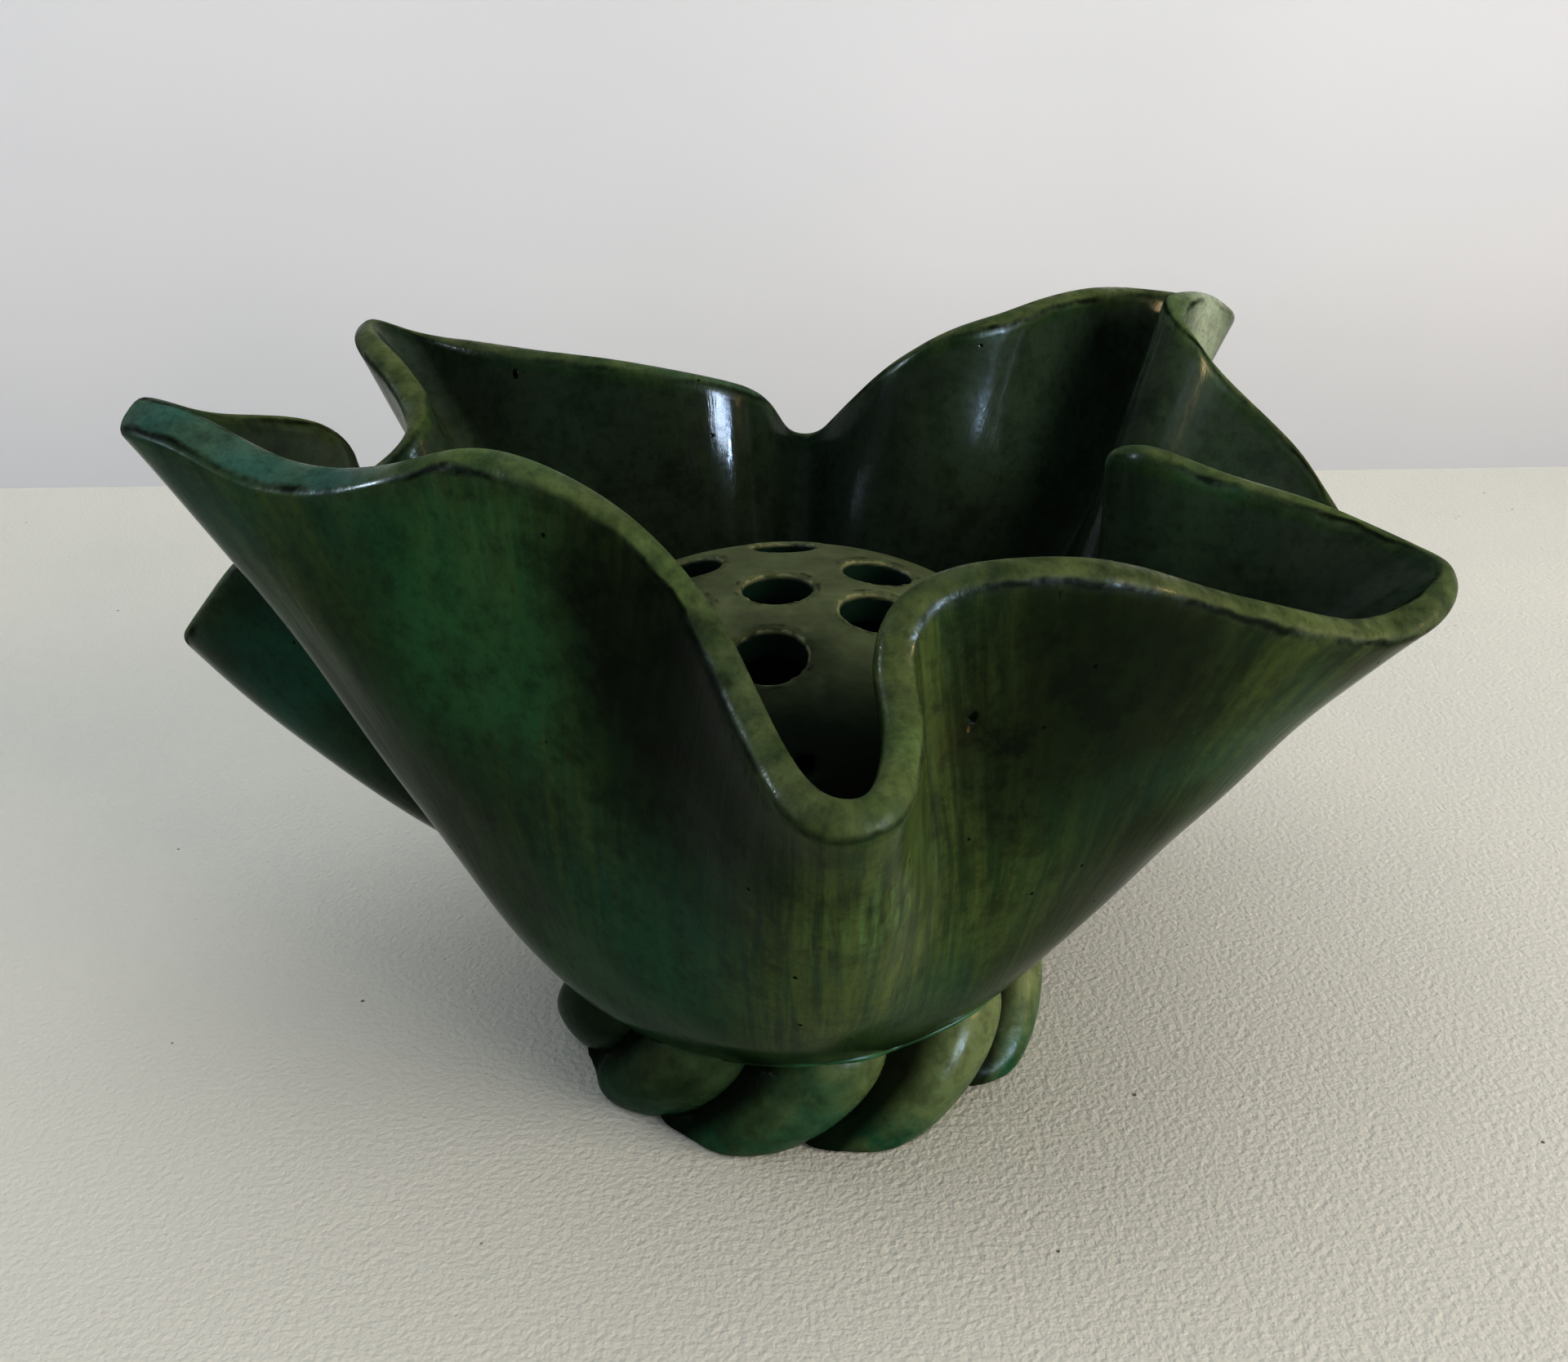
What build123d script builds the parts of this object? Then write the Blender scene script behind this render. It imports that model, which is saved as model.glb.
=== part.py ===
from build123d import *
import math
import os

# A flower frog: a domed, pierced insert that stands loose in its own ruffled bowl, on a foot
# of twisted clay lobes. Millimetres, +Z up, origin on the ground under the middle of the foot.

# ---- clay sheet of the bowl ----
WALL = 6.8             # thickness of the clay sheet, and so of the rounded lip
FOOT_HEIGHT = 20.0     # height of the sheet's middle where it leaves the foot
JOINT_RADIUS = 37.0    # radius of the sheet's middle there
BELLY_RADIUS = 54.0    # reach of the belly's curve above the foot
BELLY_RISE = 9.0       # height of that reach above the foot joint
BELLY_SHARE = 0.40     # how far up towards the rim the belly's curve still acts
LIP_HEIGHT = 105.0     # middle height of the wavy lip

# ---- flower frog ----
FROG_RADIUS = 46.0     # at its widest
FROG_WALL = 5.5
FROG_BASE_RADIUS = 34.0
FROG_FLANK = 31.0      # height from its base up to its widest place
FROG_CROWN = 34.1      # height from there up to its top
CROWN_POWER = 2.6      # 2 is an ellipse, more is a squarer shoulder
FROG_GAP = 6.6         # clear ring between the frog and the innermost fold of the lip
SEAT_GAP = 0.3         # between the frog's base and the bowl's floor

# ---- stem holes ----
STEM_HOLE = 12.0
# Angle and distance out of each stem hole; they were pushed through by hand, so they are uneven.
STEM_PLACES = [(-102, 3.5), (-95, 24), (-36, 19), (18, 17.5), (88, 20.5), (147, 19.5), (-153, 20)]
VENT_HOLE = 3.2
VENT_ANGLE = -86.0
VENT_HEIGHT = 51.0     # above the frog's base

# ---- twisted foot ----
LOBE_CENTRES = [-168, -134, -95, -56, -12, 32, 76, 118, 156]   # angle of each lobe's middle
LOBE_LENGTH = 23.0     # half its length
LOBE_GIRTH = 12.4      # half its thickness
LOBE_RING = 34.0       # radius of the ring through the lobes' middles
LOBE_LEAN = 34.0       # how steeply each lobe rises to the right, in degrees
LOBE_LIFT = 9.6        # height of the lobes' middles above the ground
FOOT_SHIFT = 1.2       # the foot was stuck on this far to the right of the bowl's middle

# ---- the lip ----
# The innermost fold of the sheet's middle line keeps clear of the frog.
FOLD_RADIUS = FROG_RADIUS + FROG_GAP + WALL / 2
# Points along the top edge of the sheet, anticlockwise from above. Each has its name, its angle,
# how far it stands out beyond the innermost fold, how far above LIP_HEIGHT, the angle at the foot
# that it grows from, and how high the belly's curve is lifted under it (low is a fuller belly).
LIP = [
    ("front dip", 274, 28, -12, -85, 9),
    ("", 277.5, 28, -11.5, -80, 9),
    ("", 280.5, 22, -9, -76, 9),
    ("", 282, 16, -6, -72, 9),
    ("right front fold", 282.5, 10, -2, -68, 9),
    ("", 284.5, 6, 3, -64, 9),
    ("", 290, 4.5, 6.5, -60, 9),
    ("right crest", 298, 7, 8, -55, 9),
    ("", 310, 12, 6, -48, 9),
    ("", 325.5, 20, -2.5, -40, 8),
    ("", 338, 32, -11.5, -32, 9),
    ("", 344, 41, -15, -26, 11),
    ("", 349.5, 50, -14.5, -21, 11),
    ("right tip", 353.5, 53.5, -12.5, -17, 11),
    ("", 357, 50, -11, -12, 10),
    ("", 360.5, 35, -5.5, -6, 6),
    ("", 364, 19, -1, -1, 6),
    ("right fold", 368, 7, 3, 4, 5),
    ("", 375.5, 7, -1, 8.5, 3),
    ("", 379.5, 23, -11, 12, 1),
    ("", 380, 48, -23, 15, 0),
    ("far right dip", 382, 66, -28, 17.5, 0),
    ("", 386, 67.5, -23, 20, 0),
    ("", 389, 64.5, -15, 22, 0),
    ("", 393, 58.5, -6, 24, 0),
    ("", 396.5, 53, 2, 26, 0),
    ("back right fold", 398.5, 49.5, 9, 28, 0),
    ("", 400.5, 51, 13.5, 31, 0),
    ("", 401.5, 58, 14, 35, 0),
    ("", 402, 67, 12, 39, 0),
    ("back right curl", 402.5, 76, 7.5, 43, 0),
    ("", 405, 82, 6, 48, 0),
    ("", 408.5, 74, 9, 54, 1),
    ("", 411, 56, 12.5, 60, 3),
    ("", 413, 38, 13.5, 66, 4),
    ("back right crest", 416, 25, 12, 71, 5),
    ("", 422, 18.5, 9.5, 75, 6),
    ("", 430, 17.5, 2.5, 79, 7),
    ("", 436, 21, -5, 82, 8),
    ("", 440, 25.5, -12, 85, 8),
    ("back dip", 444, 28, -16.5, 88, 8),
    ("", 448.5, 27, -15.5, 92, 8),
    ("", 452.5, 20, -7, 96, 8),
    ("back left fold", 458.5, 12, 0, 101, 8),
    ("", 470.5, 14, 4, 107, 6),
    ("", 482.5, 27, 6, 114, 4),
    ("", 490, 46, 7.5, 121, 4),
    ("", 493.5, 59, 9, 127, 4),
    ("back left ear", 497, 60, 11.5, 131, 4),
    ("", 500, 52.5, 11, 134, 4),
    ("", 502, 42, 9, 137, 4),
    ("", 503.5, 34.5, 6, 141, 4),
    ("left fold", 505.5, 29, 3, 145, 3),
    ("", 509, 27, -2, 149, 2),
    ("", 513, 35, -10, 152, 0),
    ("", 517, 58, -28, 157, -6),
    ("", 519.5, 65, -35, 162, -9),
    ("left spout", 522.5, 67, -38, 167.5, -11),
    ("", 525.5, 61, -34, 172, -9),
    ("", 527, 48, -20, 176, -4),
    ("near left fold", 527.5, 23, 2, 180, 5),
    ("", 532, 23, 10, 183, 9),
    ("", 535, 30, 13, 186, 13),
    ("", 538, 38, 15, 190, 15),
    ("left tip", 540.5, 44, 17.5, 194, 17),
    ("", 544, 45.5, 19, 198, 18),
    ("", 548.5, 38, 19, 203, 18),
    ("", 556, 25, 14.5, 209, 17),
    ("", 566.5, 12, 15, 216, 16),
    ("left crest", 581.5, 3, 20, 223, 15),
    ("", 598, 0, 19, 231, 13),
    ("", 611.5, 0, 12.5, 239, 11),
    ("left front fold", 620.5, 4, 3.5, 247, 10),
    ("", 625, 11, -2.5, 254, 9),
    ("", 629, 20, -8.5, 261, 9),
    ("", 631.5, 25.5, -11, 268, 9),
]
SOFTENING_STEPS = 2    # passes that smooth the lip's waves out of the belly
UP_STEPS = 9           # sections between the foot and the lip, on each face
LIP_STEPS = 5          # sections round the lip


def polar(angle, radius, height):
    """The point at an angle in degrees, a radius and a height."""
    turn = math.radians(angle)
    return Vector(radius * math.cos(turn), radius * math.sin(turn), height)


def softened(points, passes):
    """A closed run of points with each drawn halfway to its neighbours, several times."""
    for _ in range(passes):
        points = [(points[i - 1] + points[i] * 2 + points[(i + 1) % len(points)]) * 0.25
                  for i in range(len(points))]
    return points


def sheet_curves():
    """The four control points of the sheet's middle line, from foot to lip, at each lip point."""
    foot = [polar(p[4], JOINT_RADIUS, FOOT_HEIGHT) for p in LIP]
    belly = [polar(p[4], BELLY_RADIUS, FOOT_HEIGHT + BELLY_RISE) for p in LIP]
    lip = [polar(p[1], FOLD_RADIUS + p[2], LIP_HEIGHT + p[3]) for p in LIP]
    lip = [tip - (tip - low).normalized() * (WALL / 2) for tip, low in zip(lip, belly)]
    flank = []
    for low, high, point in zip(belly, softened(lip, SOFTENING_STEPS), LIP):
        share = BELLY_SHARE + 0.008 * (12 - point[5])
        flank.append(low + (high - low) * share + Vector(0, 0, point[5]))
    return list(zip(foot, belly, flank, lip))


def on_curve(curve, t):
    """The point on a cubic Bezier curve at t."""
    a, b, c, d = curve
    s = 1 - t
    return a * s**3 + b * (3 * t * s * s) + c * (3 * t * t * s) + d * t**3


def along_curve(curve, t):
    """The direction of a cubic Bezier curve at t, from foot to lip."""
    a, b, c, d = curve
    s = 1 - t
    return ((b - a) * (s * s) + (c - b) * (2 * s * t) + (d - c) * (t * t)).normalized()


def knots():
    """Where each lip point lies along the closed lip, from 0 to 1, spread as it is on the edge."""
    edge = [polar(p[1], FOLD_RADIUS + p[2], LIP_HEIGHT + p[3]) for p in LIP]
    steps = [(edge[(i + 1) % len(edge)] - edge[i]).length ** 0.7 for i in range(len(edge))]
    total = sum(steps)
    return [sum(steps[:i]) / total for i in range(len(steps))] + [1.0]


def ring(points, at):
    """A smooth closed curve through the points."""
    return Edge.make_spline(points, periodic=True, parameters=at)


def level(curves, t, at):
    """The sheet's middle at t, with its outward normal and its upward direction at each point."""
    middle = [on_curve(curve, t) for curve in curves]
    rising = [along_curve(curve, t) for curve in curves]
    edge = ring(middle, at)
    round_it = [edge.tangent_at(place, position_mode=PositionMode.PARAMETER) for place in at[:-1]]
    outward = [turn.cross(up).normalized() for turn, up in zip(round_it, rising)]
    return middle, outward, rising


def foot_circle(offset):
    """Points of the flat circle where the sheet starts, out from or in from its middle."""
    slope = math.atan2(BELLY_RISE, BELLY_RADIUS - JOINT_RADIUS)
    radius = JOINT_RADIUS + offset * math.sin(slope)
    height = FOOT_HEIGHT - offset * math.cos(slope)
    return [polar(p[4], radius, height) for p in LIP]


def bowl():
    """The folded sheet: up the outside, over the rounded lip and down the inside to the floor."""
    curves = sheet_curves()
    at = knots()
    half = WALL / 2
    levels = [level(curves, step / UP_STEPS, at) for step in range(UP_STEPS + 1)]
    outside = [[m + n * half for m, n in zip(middle, outward)] for middle, outward, _ in levels]
    inside = [[m - n * half for m, n in zip(middle, outward)] for middle, outward, _ in levels]
    outside[0] = foot_circle(half)
    inside[0] = foot_circle(-half)
    middle, outward, rising = levels[-1]
    lip = []
    for step in range(1, LIP_STEPS + 1):
        turn = math.pi * step / (LIP_STEPS + 1)
        lip.append([m + n * (half * math.cos(turn)) + up * (half * math.sin(turn))
                    for m, n, up in zip(middle, outward, rising)])
    sections = outside + lip + inside[::-1]
    return Solid.make_loft([Wire([ring(points, at)]) for points in sections])


def floor_height():
    """Height of the bowl's floor, where the frog stands."""
    return foot_circle(-WALL / 2)[0].Z


def dome_half(inset):
    """Half the frog's outline, from its base to its top, drawn in by inset all round."""
    radius = FROG_RADIUS - inset
    base = FROG_BASE_RADIUS - inset
    crown = FROG_CROWN - inset
    flank = [(base + (radius - base) * (1 - (1 - k / 4) ** 2), FROG_FLANK * k / 4) for k in range(4)]
    shoulder = []
    for k in range(13):
        turn = math.radians(90 * k / 12)
        out = radius * math.cos(turn) ** (2 / CROWN_POWER)
        shoulder.append((out, FROG_FLANK + crown * math.sin(turn) ** (2 / CROWN_POWER)))
    return flank + shoulder


def dome_solid(inset):
    """The frog's outline turned about the upright axis."""
    points = dome_half(inset)
    top = points[-1][1]
    side = Edge.make_spline([Vector(x, 0, z) for x, z in points], tangents=[
        Vector(points[1][0] - points[0][0], 0, points[1][1]).normalized(), Vector(-1, 0, 0)])
    axis = Edge.make_line((0, 0, top), (0, 0, 0))
    foot = Edge.make_line((0, 0, 0), (points[0][0], 0, 0))
    return revolve(Face(Wire([side, axis, foot])), axis=Axis.Z)


def frog():
    """The pierced dome, open underneath, standing on the bowl's floor."""
    shell = dome_solid(0) - dome_solid(FROG_WALL)
    for angle, distance in STEM_PLACES:
        shell -= Pos(polar(angle, distance, FROG_FLANK)) * Cylinder(
            STEM_HOLE / 2, FROG_CROWN + FROG_WALL, align=(Align.CENTER, Align.CENTER, Align.MIN))
    vent = Cylinder(VENT_HOLE / 2, FROG_RADIUS, align=(Align.CENTER, Align.CENTER, Align.MIN))
    shell -= Pos(0, 0, VENT_HEIGHT) * Rot(0, 0, VENT_ANGLE) * Rot(0, 90, 0) * vent
    return Pos(0, 0, floor_height() + SEAT_GAP) * shell


def lobe(angle):
    """One fat leaning lobe of the foot, before it is trimmed to the ground and its neighbours."""
    half = Face(Wire([
        Edge.make_ellipse(LOBE_LENGTH, LOBE_GIRTH, start_angle=0, end_angle=180),
        Edge.make_line((-LOBE_LENGTH, 0), (LOBE_LENGTH, 0))]))
    bean = revolve(half, axis=Axis.X)
    leaning = Rot(0, 0, angle) * Pos(LOBE_RING, 0, LOBE_LIFT) * Rot(LOBE_LEAN, 0, 0) * Rot(0, 0, 90)
    return Pos(FOOT_SHIFT, 0, 0) * leaning * bean


def foot_lobes(body):
    """The lobes, each tucked under the one on its left, flat on the ground and under the bowl."""
    whole = [lobe(angle) for angle in LOBE_CENTRES]
    reach = 2 * (LOBE_RING + LOBE_LENGTH)
    below = Pos(0, 0, -reach / 2) * Box(reach, reach, reach)
    # Where a lobe's tip would come out inside the bowl it is cut off along the sheet's middle.
    middle = on_curve(sheet_curves()[0], 0.2)
    start = (Align.CENTER, Align.CENTER, Align.MIN)
    rise = middle.Z - FOOT_HEIGHT
    funnel = Pos(0, 0, FOOT_HEIGHT) * (
        Cylinder(JOINT_RADIUS, reach, align=start)
        + Cone(JOINT_RADIUS, math.hypot(middle.X, middle.Y), rise, align=start))
    return [whole[i] - whole[i - 1] - below - funnel - body for i in range(len(whole))]


def write(shape, name):
    """Write one node's STEP file."""
    export_step(shape, f"parts/{name}.step")


os.makedirs("parts", exist_ok=True)
BOWL = bowl()
write(BOWL, "bowl")
write(frog(), "frog")
for NUMBER, SHAPE in enumerate(foot_lobes(BOWL), start=1):
    write(SHAPE, f"foot_lobe_{NUMBER}")
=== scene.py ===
import math

import bpy
import numpy as np
from mathutils import Matrix, Vector


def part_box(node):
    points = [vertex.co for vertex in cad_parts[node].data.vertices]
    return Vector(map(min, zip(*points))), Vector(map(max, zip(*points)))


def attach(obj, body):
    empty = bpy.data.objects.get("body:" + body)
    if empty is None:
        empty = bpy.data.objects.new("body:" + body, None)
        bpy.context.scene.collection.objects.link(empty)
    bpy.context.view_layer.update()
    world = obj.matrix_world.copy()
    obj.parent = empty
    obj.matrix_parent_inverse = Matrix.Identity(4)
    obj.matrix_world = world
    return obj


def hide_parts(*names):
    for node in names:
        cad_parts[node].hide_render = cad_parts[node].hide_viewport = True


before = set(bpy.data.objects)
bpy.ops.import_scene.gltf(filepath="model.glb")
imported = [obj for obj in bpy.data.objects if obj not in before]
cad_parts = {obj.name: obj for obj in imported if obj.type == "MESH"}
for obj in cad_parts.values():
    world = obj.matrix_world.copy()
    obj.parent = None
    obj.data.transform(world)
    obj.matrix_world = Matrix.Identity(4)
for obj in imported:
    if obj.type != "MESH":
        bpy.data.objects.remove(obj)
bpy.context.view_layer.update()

bl_info = {
    "name": "Ruffled bowl with flower frog",
    "version": (1, 0, 0),
    "blender": (4, 5, 0),
    "location": "3D View > Sidebar > Flower frog",
    "description": "A green glazed, ruffled bowl on a twisted foot, with a pierced dome for stems",
    "category": "Add Mesh",
}

FROG_LOW, FROG_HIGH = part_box("frog")
MM = 0.001

# Points along the top edge of the clay sheet, anticlockwise from above: the angle, how far it
# stands out beyond the innermost fold and how far above the lip's middle height (millimetres),
# the angle at the foot that it grows from, and how high the belly's curve is lifted under it.
LIP = [
    # front dip
    (274, 28, -12, -85, 9), (277.5, 28, -11.5, -80, 9), (280.5, 22, -9, -76, 9),
    (282, 16, -6, -72, 9),
    # right front fold
    (282.5, 10, -2, -68, 9), (284.5, 6, 3, -64, 9), (290, 4.5, 6.5, -60, 9),
    # right crest
    (298, 7, 8, -55, 9), (310, 12, 6, -48, 9), (325.5, 20, -2.5, -40, 8), (338, 32, -11.5, -32, 9),
    (344, 41, -15, -26, 11), (349.5, 50, -14.5, -21, 11),
    # right tip
    (353.5, 53.5, -12.5, -17, 11), (357, 50, -11, -12, 10), (360.5, 35, -5.5, -6, 6),
    (364, 19, -1, -1, 6),
    # right fold
    (368, 7, 3, 4, 5), (375.5, 7, -1, 8.5, 3), (379.5, 23, -11, 12, 1), (380, 48, -23, 15, 0),
    # far right dip
    (382, 66, -28, 17.5, 0), (386, 67.5, -23, 20, 0), (389, 64.5, -15, 22, 0),
    (393, 58.5, -6, 24, 0), (396.5, 53, 2, 26, 0),
    # back right fold
    (398.5, 49.5, 9, 28, 0), (400.5, 51, 13.5, 31, 0), (401.5, 58, 14, 35, 0), (402, 67, 12, 39, 0),
    # back right curl
    (402.5, 76, 7.5, 43, 0), (405, 82, 6, 48, 0), (408.5, 74, 9, 54, 1), (411, 56, 12.5, 60, 3),
    (413, 38, 13.5, 66, 4),
    # back right crest
    (416, 25, 12, 71, 5), (422, 18.5, 9.5, 75, 6), (430, 17.5, 2.5, 79, 7), (436, 21, -5, 82, 8),
    (440, 25.5, -12, 85, 8),
    # back dip
    (444, 28, -16.5, 88, 8), (448.5, 27, -15.5, 92, 8), (452.5, 20, -7, 96, 8),
    # back left fold
    (458.5, 12, 0, 101, 8), (470.5, 14, 4, 107, 6), (482.5, 27, 6, 114, 4), (490, 46, 7.5, 121, 4),
    (493.5, 59, 9, 127, 4),
    # back left ear
    (497, 60, 11.5, 131, 4), (500, 52.5, 11, 134, 4), (502, 42, 9, 137, 4),
    (503.5, 34.5, 6, 141, 4),
    # left fold
    (505.5, 29, 3, 145, 3), (509, 27, -2, 149, 2), (513, 35, -10, 152, 0), (517, 58, -28, 157, -6),
    (519.5, 65, -35, 162, -9),
    # left spout
    (522.5, 67, -38, 167.5, -11), (525.5, 61, -34, 172, -9), (527, 48, -20, 176, -4),
    # near left fold
    (527.5, 23, 2, 180, 5), (532, 23, 10, 183, 9), (535, 30, 13, 186, 13), (538, 38, 15, 190, 15),
    # left tip
    (540.5, 44, 17.5, 194, 17), (544, 45.5, 19, 198, 18), (548.5, 38, 19, 203, 18),
    (556, 25, 14.5, 209, 17), (566.5, 12, 15, 216, 16),
    # left crest
    (581.5, 3, 20, 223, 15), (598, 0, 19, 231, 13), (611.5, 0, 12.5, 239, 11),
    # left front fold
    (620.5, 4, 3.5, 247, 10), (625, 11, -2.5, 254, 9), (629, 20, -8.5, 261, 9),
    (631.5, 25.5, -11, 268, 9),
]

# Stem holes of the frog: angle and distance out from its middle, in millimetres. The angle of its
# vent.
STEM_PLACES = [(-102, 3.5), (-95, 24), (-36, 19), (18, 17.5), (88, 20.5), (147, 19.5), (-153, 20)]
VENT_ANGLE = -86
# Angles at the foot under the left tip and the front dip of the lip, and how far round these two
# reach. How square the lip's crown is (1 is round), how much lower it is worn on its outer side,
# and how much more at these two. How far lip points lie apart on the spline (1 is in proportion).
LEFT_TIP, FRONT_DIP, TIP_REACH = 206, 272, 12
LIP_POWER, LIP_WEAR, TIP_WEAR, KNOT_POWER = 0.8, 0.12, 0.45, 0.7
# Angle of each foot lobe's middle.
LOBE_CENTRES = [-168, -135, -99, -60, -12, 32, 76, 118, 156]
# Shares of the radius at which rings close the sheet's two sides towards the middle.
DISC_RINGS = [0.0, 0.2, 0.45, 0.7, 0.88]
# Points nearer than this are one point.
SAME_PLACE = 0.01 * MM
# How square the dome's crown is: 2 is a round one.
CROWN_POWER = 2.6
# Shares of a ball's rings, from its top, that become the dome's crown, and its crown and flank.
CROWN_RINGS, OUTER_RINGS = 0.62, 0.92

# Where the glaze ran or pooled by chance: for each kind, its middle (x, y, z), its reach
# (millimetres) and its strength.
GLAZE_RUNS = {
    "olive": [(20, -60, 108, 9, 0.7), (20, -60, 93, 12, 1.0), (23, -55, 69, 16, 0.9),
        (12, -74, 72, 15, 1.0), (8, -67, 56, 16, 0.7), (2, -60, 42, 12, 0.6),
        (28, -57, 98, 8, 0.5), (29, -48, 48, 14, 0.35), (44, -45, 64, 16, 0.15),
        (60, -38, 68, 14, 0.12), (-33, -47, 72, 14, 0.6), (-40, -45, 116, 14, 0.4),
        (-21, -54, 119, 10, 0.5), (80, -34, 84, 14, 0.6), (66, -40, 83, 10, 0.3),
        (-53, -29, 59, 10, 0.3), (-74, -26, 106, 13, 0.5), (-65, 71, 97, 7, 0.6),
        (-15, 58, 82, 8, 0.6), (-75, 32, 43, 14, 0.5), (28, 59, 60, 13, 0.6),
        (58, 9, 50, 14, 0.6), (-41, 64, 73, 12, 0.5), (-70, 50, 95, 10, 0.5),
        (-14, 59, 94, 8, 0.8), (4, 60, 92, 5, 0.5), (24, 58, 104, 8, 0.4)],
    # The pale run at (90, 77, 112), on the curled tip, is partly a painted sheen.
    "pale": [(15, -70, 72, 8, 0.9), (23, -56, 80, 8, 0.6), (26, -57, 95, 6, 0.6),
        (8, -72, 65, 9, 0.6), (16, -74, 97, 5, 0.6), (90, 77, 112, 12, 0.9),
        (80, 64, 114, 8, 0.9), (-31, 63, 106, 7, 0.3), (80, 57, 100, 7, 0.8),
        (-9, 63, 59, 8, 0.6), (-90, 30, 45, 8, 0.5), (-38, -42, 123, 12, 0.7),
        (-17, -55, 112, 9, 0.5), (95, -12, 104, 12, 0.6)],
    "bright": [(-47, -39, 100, 15, 0.8), (-39, -44, 109, 13, 0.6), (-36, -46, 92, 12, 0.7),
        (-52, -35, 84, 9, 0.5), (-38, -34, 33, 16, 0.5), (-17, -53, 45, 14, 0.3),
        (9, -85, 92, 9, 0.4), (35, -50, 69, 12, 0.4), (72, 2, 99, 14, 0.4),
        (-43, 64, 96, 12, 0.5), (87, 52, 87, 12, 0.5), (34, 61, 104, 14, 0.4),
        (54, 76, 89, 18, 0.7), (-61, 45, 72, 16, 0.7), (62, 10, 82, 16, 0.6)],
    "teal": [(-11, -64, 74, 14, 0.6), (-28, -49, 60, 14, 0.4), (24, -50, 44, 8, 0.4),
        (-95, -12, 124, 10, 0.9), (-79, -24, 119, 10, 0.9), (-64, -30, 119, 8, 0.9),
        (-92, 16, 61, 18, 0.7), (-11, 69, 95, 14, 0.5)],
    # The dark runs on the outer front, each side of the front dip, are smoky glaze and also painted
    # shade where the wall turns away from the light.
    "dark": [(-17, -57, 102, 16, 0.7), (-13, -61, 91, 16, 0.6), (-24, -53, 110, 9, 0.4),
        (-7, -70, 84, 10, 0.4), (31, -53, 79, 12, 0.5), (36, -55, 99, 16, 0.5),
        (44, -50, 86, 18, 0.5), (57, -46, 92, 14, 0.4), (-51, -35, 74, 10, 0.35),
        (-46, -31, 46, 12, 0.3), (4, -85, 91, 6, 0.3), (81, 24, 61, 16, 0.6),
        (-11, 67, 86, 16, 0.6), (66, 54, 64, 16, 0.6)],
    "brown": [(-11, 63, 100, 6, 0.5), (75, 61, 106, 5, 0.5), (25, -56, 88, 3.5, 0.9)],
    # The milky runs at the curled tip are milky glaze and also a painted sheen where the tip catches
    # the light.
    "milky": [(90, 77, 113, 9, 0.9), (97, 72, 108, 6, 0.6)],
    "chip": [(25.4, -56, 88.6, 0.9, 1), (82, 91, 112, 1.3, 1)],
    "pit": [(-53, 69, 107, 1.2, 1), (37, -56, 108, 1.1, 1), (31, -55, 89, 0.9, 1),
        (25.9, -56, 89.8, 0.95, 1)],
}

# Lights: name, place, what it points at, width and height (metres), power (watts), colour, and
# the rays it is hidden from.
MIDDLE = (0, 0, 0.08)
LIGHTS = [
    # Far windows and a lamp that are seen only as glints in the glaze.
    ("window_front", (0.93, -1.20, 0.32), MIDDLE, (0.42, 0.30), 62, "#d4e6ff", "diffuse"),
    ("window_low", (1.17, -0.94, 0.10), MIDDLE, (0.16, 0.18), 45, "#c4dcff", "diffuse"),
    ("window_left", (-1.4, -0.1, 0.70), MIDDLE, (0.26, 0.28), 30, "#dcebff", "diffuse"),
    ("lamp_right", (1.2, -0.35, 0.30), MIDDLE, (0.15, 0.15), 8, "#ffdcae", "diffuse"),
    # Large soft panels that light the room but are not seen in the glaze.
    ("panel_right", (1.4, -0.8, 0.55), MIDDLE, (1.1, 0.9), 20, "#ffeed8", "glossy"),
    ("panel_front", (-0.5, -1.5, 0.8), MIDDLE, (1.3, 0.9), 1.0, "#f3f8ff", "glossy"),
    # The bright ceiling, and a wash of light on the wall at the left.
    ("skylight", (-0.2, 0.6, 1.6), (-0.1, 0.25, 0), (2.8, 2.0), 11, "#ffffff", None),
    ("wall_light", (-1.7, 0.4, 1.0), (-1.6, 1.1, 0.5), (0.8, 0.8), 4, "#ffffff", None),
]


# ---- sizes and colours

def length(name, text, millimetres):
    """A length that the user can change."""
    return bpy.props.FloatProperty(name=name, description=text, default=millimetres * MM, min=0.0,
                                   subtype="DISTANCE", unit="LENGTH", precision=4)


def rotation(name, text, degrees):
    """An angle that the user can change."""
    return bpy.props.FloatProperty(name=name, description=text, default=math.radians(degrees),
                                   subtype="ANGLE", unit="ROTATION")


def hex_linear(code):
    """An sRGB hex colour as linear red, green, blue and alpha."""
    parts = [int(code[i:i + 2], 16) / 255 for i in (1, 3, 5)]
    return [p / 12.92 if p <= 0.04045 else ((p + 0.055) / 1.055) ** 2.4 for p in parts] + [1.0]


def colour(name, text, code):
    """A colour that the user can change."""
    return bpy.props.FloatVectorProperty(name=name, description=text, size=4, subtype="COLOR",
                                         min=0.0, max=1.0, default=hex_linear(code))


class BowlSizes(bpy.types.PropertyGroup):
    wall: length("Wall", "Thickness of the clay sheet", 6.8)
    lip: length("Lip", "Thickness of the clay sheet at its edge", 5.6)
    roll: length("Roll", "Thickness of the rolled edge at the left tip", 8.4)
    foot_height: length("Foot height", "Height of the sheet's middle at the foot", 20)
    joint_radius: length("Joint radius", "Radius of the sheet's middle at the foot", 37)
    belly_radius: length("Belly radius", "Reach of the belly's curve", 54)
    belly_rise: length("Belly rise", "Height of that reach above the foot", 9)
    lip_height: length("Lip height", "Middle height of the wavy lip", 105)
    fold_radius: length("Fold radius", "How near the innermost fold comes to the middle", 56)
    belly_share: bpy.props.FloatProperty(name="Belly share", default=0.40, min=0.1, max=0.8,
        description="How far up towards the lip the belly's curve still acts", subtype="FACTOR")
    unevenness: length("Unevenness", "How far hand pressing leaves the sheet off true", 0.5)


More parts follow.
